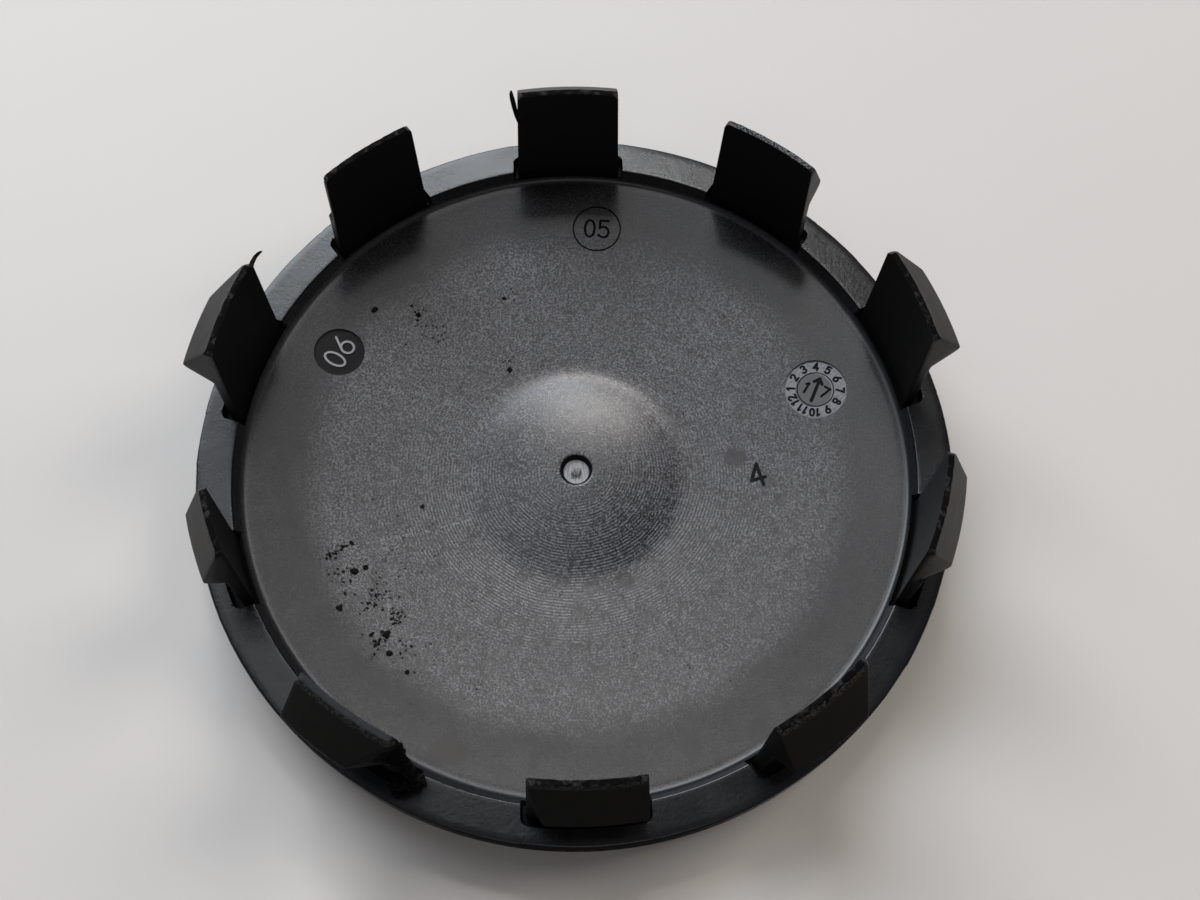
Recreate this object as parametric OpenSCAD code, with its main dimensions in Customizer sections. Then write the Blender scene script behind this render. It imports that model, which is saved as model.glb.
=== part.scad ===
// Round snap-in cap that closes the centre hole of a car wheel, lying on its domed face.
// One moulding: a dished disc with a flange and a ring of clips whose hooks point outwards.
// Millimetres. The lowest point of the dome is at the origin and the clips stand up along +Z.

// Piece to draw

/* [Rim] */

// Outside diameter of the rim
rim_d = 56; // [50:0.5:64]
// Width of the flat flange round the pocket
flange_w = 2.66; // [2.2:0.02:3.4]
// Chamfer at the flange's outer edge
rim_chamfer = 0.16; // [0.05:0.01:0.4]
// Radius of the rim's front edge
rim_edge_r = 0.55; // [0.2:0.05:0.9]

/* [Disc] */

// Thickness of the disc
wall = 1.7; // [1.2:0.05:2.4]
// How much lower the floor is at its middle than at its edge
dish_depth = 1.93; // [0.8:0.01:2.6]
// Drop from the flange to the floor's edge
pocket_depth = 1.05; // [0.6:0.05:1.8]
// How much narrower the pocket is at the floor than at the flange
pocket_draft = 0.3; // [0.1:0.05:0.6]
// Radius of the fillet round the floor
floor_fillet = 0.5; // [0.2:0.05:0.8]
// Diameter of the emblem seat in the front
seat_d = 51.2; // [44:0.2:52]
// Depth of the emblem seat
seat_depth = 0.45; // [0.2:0.05:0.8]

/* [Clips] */

// Number of clips
clip_count = 10; // [6:2:12]
// Width of a clip at the flange
clip_w = 8.1; // [6:0.1:9]
// Width of a clip at its tip
clip_tip_w = 7.5; // [5.5:0.1:8.5]
// Width of the narrow clip
narrow_w = 5.1; // [4:0.1:6]
// Place of the narrow clip, counted clockwise from the one at +Y
narrow_clip = 7; // [0:1:9]
// Height of the clips above the flange
clip_h = 10.05; // [8:0.05:13]
// Thickness of a clip's stem
stem_t = 0.8; // [0.6:0.05:1.1]
// Thickness of a clip at its tip
tip_t = 0.42; // [0.3:0.02:0.7]
// How far a clip leans inwards at its tip
clip_lean = 0.26; // [0:0.02:0.5]
// Chamfer at the corners of the tips
tip_chamfer = 0.35; // [0.1:0.05:0.9]

/* [Hooks] */

// Reach of the long hooks, from the pocket's edge
long_reach = 2.6; // [1.9:0.05:2.65]
// Height of the long hooks' nose above the flange
long_nose_h = 7; // [5.5:0.1:7.6]
// Reach of the short hooks
short_reach = 2; // [1.7:0.05:2.5]
// Height of the short hooks' nose above the flange
short_nose_h = 5.9; // [5:0.1:7.5]
// Radius of a hook's nose
nose_r = 0.45; // [0.2:0.05:0.6]
// Slope of the catching face, from the horizontal
catch_angle = 42; // [25:1:60]
// How much the lightly cut hook ends lose at the nose
mitre_light = 1.1; // [0.4:0.1:1.4]
// How much the medium cut hook ends lose
mitre_medium = 1.7; // [1:0.1:2]
// How much the deeply cut hook ends lose
mitre_deep = 2.3; // [1.6:0.1:2.8]
// Height above the flange at which the cuts begin
mitre_z = 4.4; // [3:0.1:5]

/* [Wells] */

// Depth of the well behind each clip
well_depth = 0.95; // [0.5:0.05:1.2]
// Width of the well, from the stem outwards
well_w = 0.55; // [0.4:0.05:1.2]
// Gap between a clip's sides and the ends of its well
well_gap = 0.32; // [0.1:0.02:0.6]
// Radius of the well's outer corners
well_corner = 0.45; // [0.2:0.05:0.6]
// Radius of the fillet at a clip's root
root_r = 0.25; // [0.1:0.05:0.35]

/* [Floor marks] */

// Radius of the low boss in the middle of the floor
boss_r = 8.1; // [5:0.1:10]
// Height of the boss over its edge
boss_h = 0.3; // [0.1:0.02:0.6]
// Radius of the gate's dimple where it opens
gate_r = 1.2; // [0.8:0.05:1.6]
// Radius of the dimple's flat bottom
gate_floor_r = 0.97; // [0.5:0.01:1.3]
// Depth of the gate's dimple
gate_depth = 0.44; // [0.2:0.02:0.6]
// Radius of the torn nub in the dimple
gate_nub_r = 0.38; // [0.2:0.02:0.6]
// Height of the nub
gate_nub_h = 0.08; // [0.02:0.01:0.2]
// Radius of the date dial
dial_r = 2.4; // [1.6:0.1:3]
// Radius of the dial's turning core
dial_core_r = 1.4; // [0.8:0.05:1.6]
// Depth of the date dial
dial_depth = 0.12; // [0.05:0.01:0.3]
// Radius of the sunk disc and of the engraved ring
badge_r = 1.9; // [1.2:0.1:2.4]
// Radius of the circle that the sunk disc and the ring lie on
badge_circle_r = 20.7; // [16:0.1:21]
// Depth of the sunk disc and of the engraved ring
badge_depth = 0.14; // [0.05:0.01:0.3]
// Width of the engraved lines
line_w = 0.16; // [0.1:0.01:0.3]

/* [Hidden] */

rim_r = rim_d / 2;
pocket_r = rim_r - flange_w;
flange_z = wall + dish_depth + pocket_depth;
floor_edge_z = wall + dish_depth;
floor_edge_r = pocket_r - pocket_draft - floor_fillet;
// Spheres that shape the floor and the front share one centre on the axis
dish_r = (pow(floor_edge_r, 2) + pow(dish_depth, 2)) / (2 * dish_depth);
dome_z = wall + dish_r;
dome_r = dome_z;
seat_r = seat_d / 2;
// Front face of the rim, at the seat's edge and below the rim's side
ring_in_z = dome_z - sqrt(pow(dome_r, 2) - pow(seat_r, 2)) - seat_depth;
ring_out_z = ring_in_z + 0.25;
// The boss is a flatter dome, turned the other way, that starts on the floor
boss_edge_z = dome_z - sqrt(pow(dish_r, 2) - pow(boss_r, 2));
boss_top_z = boss_edge_z + boss_h;
boss_dome_r = (pow(boss_r, 2) + pow(boss_h, 2)) / (2 * boss_h);
stem_r = pocket_r + stem_t;
well_r = stem_r + well_w;
tip_in_r = pocket_r - clip_lean;
tip_out_r = tip_in_r + tip_t;
pitch = 360 / clip_count;
grip = 0.2;
arc_steps = 5;
black = [0.07, 0.07, 0.075];
// Hook ends that are cut off: clip, end (+1 is the anticlockwise one) and what it loses
mitres = [
    [2, 1, mitre_light],
    [3, -1, mitre_light],
    [4, 1, mitre_medium],
    [5, -1, mitre_light],
    [6, 1, mitre_deep],
    [8, -1, mitre_deep],
    [9, 1, mitre_deep]
];
long_clips = [for (i = [0 : 2 : clip_count - 1]) i];
short_clips = [for (i = [1 : 2 : clip_count - 1]) i];

$fn = 180;

clip_cap();

// Points of an arc about [x, y], from angle a to angle b
function arc(x, y, r, a, b) =
    [for (i = [0 : arc_steps]) let (t = a + (b - a) * i / arc_steps) [x + r * cos(t), y + r * sin(t)]];

function clip_angle(i) = 90 - pitch * i;

function root_w(i) = i == narrow_clip ? narrow_w : clip_w;

function tip_w(i) = i == narrow_clip ? narrow_w - 0.1 : clip_tip_w;

// Section of the rim: a flat flange, a straight side and a rounded front edge
function rim_section() = concat(
    [
        [seat_r - 1, flange_z],
        [seat_r - 1, floor_edge_z - wall],
        [seat_r - 1, ring_in_z + seat_depth + grip],
        [seat_r, ring_in_z + seat_depth + grip],
        [seat_r, ring_in_z]
    ],
    arc(rim_r - rim_edge_r, ring_out_z + rim_edge_r, rim_edge_r, -84, 0),
    [[rim_r, flange_z - rim_chamfer], [rim_r - rim_chamfer, flange_z]]
);

// Section of a clip above the flange, with its hook's lead-in, nose, catching face and stem.
// The inner side runs straight, because the cut that hollows the cap gives it its shape
function clip_section(reach, nose_h) =
    let (
        lead = atan2(clip_h - nose_h, pocket_r + reach - nose_r - tip_out_r),
        nose_x = pocket_r + reach - nose_r,
        catch_x = nose_x + nose_r * sin(catch_angle),
        catch_y = nose_h - nose_r * cos(catch_angle),
        catch_foot = catch_y - (catch_x - stem_r) * tan(catch_angle)
    )
    concat(
        [[tip_in_r - 0.8, -well_depth - grip], [tip_in_r - 0.8, clip_h], [tip_out_r, clip_h]],
        arc(nose_x, nose_h, nose_r, 90 - lead * 0.62, catch_angle - 90),
        [[stem_r, catch_foot]],
        arc(stem_r + root_r, root_r - well_depth, root_r, 180, 270),
        [[stem_r + root_r, -well_depth - grip]]
    );

// Puts what is drawn at the origin on the floor, at radius r and angle a, square to the surface
module on_floor(r, a) {
    translate([0, 0, dome_z]) rotate([0, 0, a]) rotate([0, -asin(r / dish_r), 0])
        translate([0, 0, -dish_r]) children();
}

// Outline of clip i seen from the axis, with cut corners at the tip
module clip_outline(i) {
    foot = root_w(i) / 2;
    tip = tip_w(i) / 2;
    down = well_depth + 2 * grip;
    slope = (foot - tip) / clip_h;
    rotate([0, 0, clip_angle(i)]) translate([pocket_r - 3, 0, flange_z]) rotate([90, 0, 90])
        linear_extrude(height = 7) polygon([
            [-foot - slope * down, -down],
            [foot + slope * down, -down],
            [tip + slope * tip_chamfer, clip_h - tip_chamfer],
            [tip - tip_chamfer, clip_h],
            [tip_chamfer - tip, clip_h],
            [-tip - slope * tip_chamfer, clip_h - tip_chamfer]
        ]);
}

// Clips of one kind: a turned section cut to the outlines
module clips(list, reach, nose_h) {
    intersection() {
        translate([0, 0, flange_z]) rotate_extrude() polygon(clip_section(reach, nose_h));
        union() for (i = list) clip_outline(i);
    }
}

// Slanting cuts across hook ends, from the tip's outer corner to the nose
module mitre_cuts() {
    for (m = mitres) {
        half = tip_w(m[0]) / 2 + 0.04;
        nose = pocket_r + (m[0] % 2 == 0 ? long_reach : short_reach);
        slope = m[2] / (nose - tip_out_r);
        rotate([0, 0, clip_angle(m[0])]) scale([1, m[1], 1])
            translate([0, 0, flange_z + mitre_z]) linear_extrude(height = clip_h)
                polygon([
                    [tip_out_r, half],
                    [nose + 1, half - slope * (nose + 1 - tip_out_r)],
                    [nose + 1, half + 1],
                    [tip_out_r, half + 1]
                ]);
    }
}

// Wells in the flange behind the clips, with rounded outer corners
module wells() {
    height = well_depth + 1;
    for (i = [0 : clip_count - 1]) {
        half = root_w(i) / 2 + well_gap;
        side = half - well_corner;
        corner_x = sqrt(pow(well_r - well_corner, 2) - pow(side, 2));
        meet = side * well_r / (well_r - well_corner);
        rotate([0, 0, clip_angle(i)]) translate([0, 0, flange_z - well_depth]) difference() {
            union() {
                translate([pocket_r - 3, -half, 0]) cube([corner_x - pocket_r + 3, 2 * half, height]);
                for (end = [-1, 1]) translate([corner_x, end * side, 0])
                    cylinder(r = well_corner, h = height, $fn = 48);
                intersection() {
                    cylinder(r = well_r, h = height);
                    translate([pocket_r - 2, -meet, 0]) cube([4, 2 * meet, height]);
                }
            }
            translate([0, 0, -1]) cylinder(r = pocket_r - 0.12, h = height + 2);
        }
    }
}

// Disc with its domed front, the emblem seat and the rim
module disc() {
    difference() {
        union() {
            rotate_extrude() polygon(rim_section());
            intersection() {
                cylinder(r = seat_r - 0.5, h = flange_z);
                translate([0, 0, dome_z]) sphere(r = dome_r);
            }
        }
        wells();
    }
}

// Low boss in the middle of the floor, under the gate
module boss() {
    intersection() {
        cylinder(r = boss_r, h = flange_z);
        translate([0, 0, boss_top_z - boss_dome_r]) sphere(r = boss_dome_r);
    }
}

// What is hollowed out: the dished floor, the pocket's wall and the inner faces of the clips
module inside() {
    difference() {
        intersection() {
            rotate_extrude() polygon(concat(
                [[0, -1]],
                [[floor_edge_r, -1]],
                arc(floor_edge_r, floor_edge_z + floor_fillet, floor_fillet, -86, -12),
                [
                    [pocket_r, flange_z],
                    [tip_in_r, flange_z + clip_h],
                    [tip_in_r, flange_z + clip_h + 2],
                    [0, flange_z + clip_h + 2]
                ]
            ));
            translate([0, 0, dome_z]) sphere(r = dish_r);
        }
        boss();
    }
}

// Dimple of the gate, with slanting sides and a nub where the sprue tore off
module gate_dimple() {
    translate([0, 0, boss_top_z - gate_depth]) difference() {
        union() {
            cylinder(r1 = gate_floor_r, r2 = gate_r, h = gate_depth);
            translate([0, 0, gate_depth]) cylinder(r = gate_r, h = 1);
        }
        translate([0, 0, -1]) cylinder(r = gate_nub_r, h = 1 + gate_nub_h);
    }
}

// Gate dimple, date dial, engraved ring and sunk disc
module floor_marks() {
    gate_dimple();
    on_floor(19.6, 17.7) translate([0, 0, -dial_depth]) difference() {
        cylinder(r = dial_r, h = 1);
        translate([0, 0, -1]) difference() {
            cylinder(r = dial_core_r, h = 1 + dial_depth / 2);
            cylinder(r = dial_core_r - line_w, h = 1 + dial_depth);
        }
    }
    on_floor(badge_circle_r, 83.9) translate([0, 0, -badge_depth]) difference() {
        cylinder(r = badge_r, h = 1);
        translate([0, 0, -1]) cylinder(r = badge_r - line_w, h = 3);
    }
    on_floor(badge_circle_r, 151.2) translate([0, 0, -badge_depth]) cylinder(r = badge_r, h = 1);
}

module clip_cap() {
    color(black) difference() {
        union() {
            disc();
            clips(long_clips, long_reach, long_nose_h);
            clips(short_clips, short_reach, short_nose_h);
        }
        inside();
        mitre_cuts();
        floor_marks();
    }
}
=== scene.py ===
import math

import bmesh
import bpy
import numpy as np
from mathutils import Matrix, Vector


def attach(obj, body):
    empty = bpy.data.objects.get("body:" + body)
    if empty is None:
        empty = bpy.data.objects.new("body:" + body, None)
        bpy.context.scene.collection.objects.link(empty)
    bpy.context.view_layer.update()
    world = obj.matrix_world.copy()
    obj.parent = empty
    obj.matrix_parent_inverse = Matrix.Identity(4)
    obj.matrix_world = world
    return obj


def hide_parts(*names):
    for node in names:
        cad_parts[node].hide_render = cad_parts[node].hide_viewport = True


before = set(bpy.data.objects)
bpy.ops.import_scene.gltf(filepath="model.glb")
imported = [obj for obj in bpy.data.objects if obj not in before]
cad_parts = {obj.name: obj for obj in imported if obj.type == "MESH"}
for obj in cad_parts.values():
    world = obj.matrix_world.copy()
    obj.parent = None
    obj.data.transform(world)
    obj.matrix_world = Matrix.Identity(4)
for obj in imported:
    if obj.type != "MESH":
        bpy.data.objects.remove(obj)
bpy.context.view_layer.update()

scene = bpy.context.scene
mm = 0.001

# sizes of the cap in millimetres that its pieces share
cap = {
    "rimR": 28.0, "flangeW": 2.66, "wall": 1.7, "dishDepth": 1.93, "pocketDepth": 1.05,
    "pocketDraft": 0.3, "floorFillet": 0.5, "clips": 10, "narrowClip": 7,
    "clipHalf": 4.05, "narrowHalf": 2.55, "stemT": 0.8,
}
pocketR = cap["rimR"] - cap["flangeW"]
floorEdgeR = pocketR - cap["pocketDraft"] - cap["floorFillet"]
floorEdgeZ = cap["wall"] + cap["dishDepth"]
flangeZ = floorEdgeZ + cap["pocketDepth"]
dishR = (floorEdgeR ** 2 + cap["dishDepth"] ** 2) / (2 * cap["dishDepth"])
domeZ = cap["wall"] + dishR


def floorHeight(r):
    return domeZ - math.sqrt(dishR ** 2 - r * r)


def frontHeight(r):
    return domeZ - math.sqrt(domeZ ** 2 - r * r)


def clipAngle(k):
    # clips are counted clockwise from the topmost one
    return math.pi / 2 - 2 * math.pi / cap["clips"] * k


def clipHalf(k):
    return cap["narrowHalf"] if k == cap["narrowClip"] else cap["clipHalf"]


def ease(a, b, x):
    t = np.clip((x - a) / (b - a), 0, 1)
    return t * t * (3 - 2 * t)


# camera, standing where the photograph was taken

viewPoint = {
    "place": (-1.19, -38.1, 99.0), "focal": 41.14, "sensor": 36.0,
    "right": (0.99929946, -0.03284958, 0.01793028),
    "up": (0.0235857, 0.92477907, 0.37977282),
    "back": (-0.02905692, -0.37908387, 0.924906),
}


def addCamera():
    lens = bpy.data.cameras.new("viewCamera")
    lens.lens = viewPoint["focal"]
    lens.sensor_width = viewPoint["sensor"]
    lens.clip_start = 0.005
    lens.clip_end = 20
    camera = bpy.data.objects.new("viewCamera", lens)
    scene.collection.objects.link(camera)
    turn = Matrix([viewPoint["right"], viewPoint["up"], viewPoint["back"]]).transposed().to_4x4()
    camera.matrix_world = Matrix.Translation(Vector(viewPoint["place"]) * mm) @ turn
    scene.camera = camera


addCamera()
print("camera placed")


# helpers for node trees and meshes

def plug(tree, slot, value):
    if isinstance(value, Term):
        value = value.socket
    if isinstance(value, bpy.types.NodeSocket):
        tree.links.new(value, slot)
    else:
        slot.default_value = value


class Term:
    # a socket that adds and multiplies, so that a formula in a tree reads as one
    def __init__(self, tree, socket):
        self.tree = tree
        self.socket = socket

    def math(self, kind, *others, clamp=False):
        node = self.tree.nodes.new("ShaderNodeMath")
        node.operation = kind
        node.use_clamp = clamp
        for slot, value in zip(node.inputs, (self, *others)):
            plug(self.tree, slot, value)
        return Term(self.tree, node.outputs[0])

    def __add__(self, other):
        return self.math("ADD", other)

    def __sub__(self, other):
        return self.math("SUBTRACT", other)

    def __mul__(self, other):
        return self.math("MULTIPLY", other)

    def __truediv__(self, other):
        return self.math("DIVIDE", other)

    def __rsub__(self, other):
        return self.math("MULTIPLY_ADD", -1.0, other)

    __radd__ = __add__
    __rmul__ = __mul__

    def clamped(self):
        return self.math("ADD", 0.0, clamp=True)

    def between(self, start, end):
        # 0 at start, 1 at end, eased
        node = self.tree.nodes.new("ShaderNodeMapRange")
        node.interpolation_type = "SMOOTHSTEP"
        for slot, value in zip(node.inputs, (self, start, end)):
            plug(self.tree, slot, value)
        return Term(self.tree, node.outputs[0])


def addNode(tree, kind, inputs=None, **options):
    node = tree.nodes.new(kind)
    for name, value in options.items():
        setattr(node, name, value)
    for name, value in (inputs or {}).items():
        plug(tree, node.inputs[name], value)
    return node


def splitTerms(tree, vector):
    parts = addNode(tree, "ShaderNodeSeparateXYZ", {0: vector})
    return [Term(tree, out) for out in parts.outputs]


def joinTerms(tree, x, y, z):
    return addNode(tree, "ShaderNodeCombineXYZ", {0: x, 1: y, 2: z}).outputs[0]


def newTree(name, sizes):
    # a Geometry Nodes tree with one named input for each size
    kinds = {float: "NodeSocketFloat", int: "NodeSocketInt", bpy.types.Material: "NodeSocketMaterial"}
    tree = bpy.data.node_groups.new(name, "GeometryNodeTree")
    for way in ("INPUT", "OUTPUT"):
        tree.interface.new_socket("Geometry", in_out=way, socket_type="NodeSocketGeometry")
    for label, value in sizes.items():
        tree.interface.new_socket(label, in_out="INPUT", socket_type=kinds[type(value)])
    return tree, tree.nodes.new("NodeGroupInput"), tree.nodes.new("NodeGroupOutput")


def closeTree(tree, start, end, geometry):
    # real geometry, not instances, with its finish
    whole = addNode(tree, "GeometryNodeRealizeInstances", {0: geometry}).outputs[0]
    coat = addNode(tree, "GeometryNodeSetMaterial", {0: whole, "Material": start.outputs["Finish"]})
    plug(tree, end.inputs[0], coat.outputs[0])
    return tree


def keptTerm(tree, name, kind="FLOAT"):
    # a named attribute of the points
    node = addNode(tree, "GeometryNodeInputNamedAttribute", {"Name": name}, data_type=kind)
    return Term(tree, node.outputs["Attribute"])


def randomTerm(tree, low, high, seed):
    # a random number for each point, or a random vector
    first, kind = (0, "FLOAT_VECTOR") if isinstance(low, tuple) else (2, "FLOAT")
    inputs = {first: low, first + 1: high, "Seed": seed}
    node = addNode(tree, "FunctionNodeRandomValue", inputs, data_type=kind)
    return Term(tree, node.outputs[first // 2])


def roughen(tree, geometry, amount, **noise):
    # pushes every point about, and brings millimetres down to metres
    spot = addNode(tree, "GeometryNodeInputPosition").outputs[0]
    push = addNode(tree, "ShaderNodeTexNoise", {"Vector": spot, **noise}).outputs["Color"]
    for inputs, kind in (({1: (0.5, 0.5, 0.5)}, "SUBTRACT"), ({"Scale": amount}, "SCALE")):
        push = addNode(tree, "ShaderNodeVectorMath", {0: push, **inputs}, operation=kind).outputs[0]
    shape = addNode(tree, "GeometryNodeSetPosition", {"Geometry": geometry, "Offset": push}).outputs[0]
    return addNode(tree, "GeometryNodeTransform", {"Geometry": shape, "Scale": (mm, mm, mm)}).outputs[0]


def growTree(name, base, tree, sizes):
    # runs the tree on a base object and leaves a plain mesh
    grower = base.modifiers.new(name, "NODES")
    grower.node_group = tree
    for item in tree.interface.items_tree:
        if item.in_out == "INPUT" and item.name in sizes:
            grower[item.identifier] = sizes[item.name]
    return settle(name, base)


def settle(name, thing):
    # turns an object with its modifiers into a plain mesh object
    mesh = bpy.data.meshes.new_from_object(thing.evaluated_get(bpy.context.evaluated_depsgraph_get()))
    mesh.name = name
    bpy.data.objects.remove(thing)
    return addObject(name, mesh)


def addObject(name, mesh):
    thing = bpy.data.objects.new(name, mesh)
    scene.collection.objects.link(thing)
    return thing


def newMesh(name, verts, faces=()):
    mesh = bpy.data.meshes.new(name)
    mesh.from_pydata(verts, [], faces)
    return mesh


def seatPoints(name, places, columns):
    # a point for each seat, with what differs from one to the next as attributes
    mesh = newMesh(name, places)
    for key, values in columns.items():
        kind = "INT" if isinstance(values[0], int) else "FLOAT"
        mesh.attributes.new(key, kind, "POINT").data.foreach_set("value", values)
    return addObject(name, mesh)


def dropAttributes(mesh, keys):
    for key in keys:
        if key in mesh.attributes:
            mesh.attributes.remove(mesh.attributes[key])


def reshape(mesh, steps):
    # runs bmesh steps on a mesh
    work = bmesh.new()
    work.from_mesh(mesh)
    steps(work)
    work.to_mesh(mesh)
    work.free()


def turnOutwards(mesh):
    reshape(mesh, lambda work: bmesh.ops.recalc_face_normals(work, faces=work.faces))


def sharpenOver(mesh, degrees):
    # smooth faces, with sharp edges where the surface turns by more than this angle
    def mark(work):
        for face in work.faces:
            face.smooth = True
        for edge in work.edges:
            edge.smooth = edge.calc_face_angle(0) < math.radians(degrees)
    reshape(mesh, mark)


def meshFromRings(name, points):
    # rows of stations, closed round the axis, with a pole at each end
    rows, stations, _ = points.shape

    def at(i, j):
        return 1 + i * stations + j % stations

    verts = [points[0].mean(0), *points.reshape(-1, 3), points[-1].mean(0)]
    last = len(verts) - 1
    faces = [(0, at(0, j + 1), at(0, j)) for j in range(stations)]
    for i in range(rows - 1):
        faces += [(at(i, j), at(i, j + 1), at(i + 1, j + 1), at(i + 1, j)) for j in range(stations)]
    faces += [(at(rows - 1, j), at(rows - 1, j + 1), last) for j in range(stations)]
    mesh = newMesh(name, verts, faces)
    turnOutwards(mesh)
    return addObject(name, mesh)


# finishes: one moulding, with a grained floor, a satin flange and near-black clips

def newFinish(name):
    # with object coordinates in millimetres, and the distance from the axis
    material = bpy.data.materials.new(name)
    material.use_nodes = True
    tree = material.node_tree
    spot = addNode(tree, "ShaderNodeTexCoord").outputs["Object"]
    spot = addNode(tree, "ShaderNodeVectorMath", {0: spot, "Scale": 1 / mm}, operation="SCALE").outputs[0]
    x, y, z = splitTerms(tree, spot)
    return material, tree, spot, x, y, z, (x * x + y * y).math("SQRT")


def cloud(tree, spot, size, detail=2.0, rough=0.5):
    # noise whose blots are about this size in millimetres
    inputs = {"Vector": spot, "Scale": 1 / size, "Detail": detail, "Roughness": rough}
    return Term(tree, addNode(tree, "ShaderNodeTexNoise", inputs).outputs[0])


def mixColour(tree, amount, first, second):
    node = addNode(tree, "ShaderNodeMix", data_type="RGBA")
    plug(tree, node.inputs[0], amount)
    for slot, value in ((node.inputs[6], first), (node.inputs[7], second)):
        plug(tree, slot, (*value, 1.0) if isinstance(value, tuple) else value)
    return node.outputs[2]


def distanceTo(x, y, place):
    return ((x - place[0]).math("POWER", 2.0) + (y - place[1]).math("POWER", 2.0)).math("SQRT")


def strokeTerm(x, y, start, end, width):
    # 1 along a straight stroke, easing to 0 at its width
    dx, dy = end[0] - start[0], end[1] - start[1]
    along = (((x - start[0]) * dx + (y - start[1]) * dy) / (dx * dx + dy * dy)).clamped()
    across = (x - start[0] - along * dx).math("POWER", 2.0) + (y - start[1] - along * dy).math("POWER", 2.0)
    return 1 - across.math("SQRT").between(0.0, width)


def finishWith(material, colour, rough, height, sizes):
    tree = material.node_tree
    bump = {"Strength": 1.0, "Distance": sizes["bump"] * mm, "Height": height}
    bump = addNode(tree, "ShaderNodeBump", bump)
    inputs = tree.nodes["Principled BSDF"].inputs
    for name, value in (("Base Color", colour), ("Roughness", rough), ("Normal", bump.outputs[0])):
        plug(tree, inputs[name], value)
    inputs["Specular IOR Level"].default_value = sizes.get("specular", 0.5)
    return material


floorFinish = {
    "dark": (0.006, 0.0058, 0.0063), "light": (0.122, 0.123, 0.135), "smooth": (0.009, 0.0086, 0.0092),
    "stain": (0.005, 0.0036, 0.0033), "dent": (0.008, 0.0075, 0.0075), "scratch": (0.2, 0.2, 0.2),
    "grainEnds": (18.2, 21.6), "ringPitch": 0.23, "bump": 0.007,
    "stains": {(12.1, 0.5): 1.2, (5.7, -18.6): 0.7, (7.3, -21.5): 1.3, (12.1, -20.3): 1.0, (14.2, -1.8): 0.9,
               (3.4, -9.0): 1.0, (-9.5, -21.0): 1.6},
    "longScratch": ((-17.51, -6.12), (-8.05, -3.75)),
    # forked scratch on the left, a short one at the bottom and a curved brown line on the right
    "scratches": [((-15.87, 12.72), (-13.19, 16.19)), ((-15.87, 12.72), (-13.0, 13.05)),
                  ((-15.87, 12.72), (-15.75, 14.7)), ((9.92, -12.61), (11.31, -13.28)),
                  ((12.06, -2.43), (12.61, -3.19)), ((12.61, -3.19), (12.69, -4.0))],
}


def makeFloorFinish():
    f = floorFinish
    material, tree, spot, x, y, _, rho = newFinish("grainedFloor")
    broad = cloud(tree, spot, 5.0, 3)
    patch = cloud(tree, spot, 1.3, 4, 0.6)
    grain = cloud(tree, spot, 0.17, 3, 0.75)
    spark = cloud(tree, spot, 0.09, 1, 0.5)
    smoothEdge = (rho + (broad - 0.5) * 2).between(*f["grainEnds"])
    grained = 1 - smoothEdge
    # fine rings from the turned mould, in patches
    rings = ((rho + (broad - 0.5) * 0.5) * (2 * math.pi / f["ringPitch"])).math("SINE")
    turned = rho.between(18.0, 10.0) * (0.3 + 0.7 * patch.between(0.4, 0.58)) * rho.between(1.4, 3.5)
    turned = turned * (0.35 + y.between(5.0, -7.0) * 0.65)
    speckle = grain.between(0.45, 0.6) * 0.7 + spark.between(0.55, 0.7) * 0.5
    lightness = speckle + (patch - 0.5) * 0.35 + rings * turned * 0.5
    # painted light: the floor's colour is made paler towards the top and darker towards the bottom, for how
    # the light falls across it
    lightness = lightness * 1.25 - 0.3 + y.between(-22.0, 12.0) * 0.28
    colour = mixColour(tree, lightness.clamped(), f["dark"], f["light"])
    colour = mixColour(tree, smoothEdge * 0.85, colour, f["smooth"])
    for place, reach in f["stains"].items():
        blot = (distanceTo(x, y, place) + (patch - 0.5) * 2.4).between(reach, reach * 0.3)
        colour = mixColour(tree, blot * 0.8, colour, f["stain"])
    longMark = strokeTerm(x + (broad - 0.5) * 0.5, y + (broad - 0.5) * 0.5, *f["longScratch"], 0.1)
    longMark = longMark * grain.between(0.46, 0.56) * patch.between(0.36, 0.56)
    colour = mixColour(tree, longMark * 0.7, colour, f["scratch"])
    for start, end in f["scratches"]:
        mark = strokeTerm(x, y, start, end, 0.13) * patch.between(0.3, 0.5)
        colour = mixColour(tree, mark * 0.6, colour, f["dent"])
    rough = 0.15 + patch * 0.04 + grained * grain * 0.06 + rho.between(24.35, 24.65) * 0.16
    height = grained * (grain * 0.8 + spark * 0.35) + rings * turned * 0.2 + patch * 0.2
    return finishWith(material, colour, rough, height, f)


flangeFinish = {
    "dark": (0.0022, 0.0022, 0.0026), "light": (0.009, 0.0094, 0.011), "edge": (0.003, 0.003, 0.003),
    "bump": 0.03,
}


def makeFlangeFinish():
    f = flangeFinish
    material, tree, spot, _, _, z, rho = newFinish("satinFlange")
    broad = cloud(tree, spot, 3.5, 4, 0.6)
    fine = cloud(tree, spot, 0.25, 3, 0.6)
    colour = mixColour(tree, (broad * 1.2 + fine * 0.3 - 0.3).clamped(), f["dark"], f["light"])
    # the rim's outer edge is a thin dark line of its own; the even dark colour down its outer wall is painted
    # shade
    rimLineAndShade = rho.between(27.75, 27.95) + z.between(flangeZ - 0.25, flangeZ - 0.5)
    colour = mixColour(tree, rimLineAndShade.clamped(), colour, f["edge"])
    rough = 0.13 + broad * 0.2 + fine * 0.07
    return finishWith(material, colour, rough, broad * 1.2 + fine * 0.35, f)


clipFinish = {
    "black": (0.0042, 0.0038, 0.0036), "warm": (0.0145, 0.0118, 0.01), "pale": (0.1, 0.098, 0.096),
    "bump": 0.012, "specular": 0.26, "tipEnds": (9.6, 9.8),
}


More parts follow.
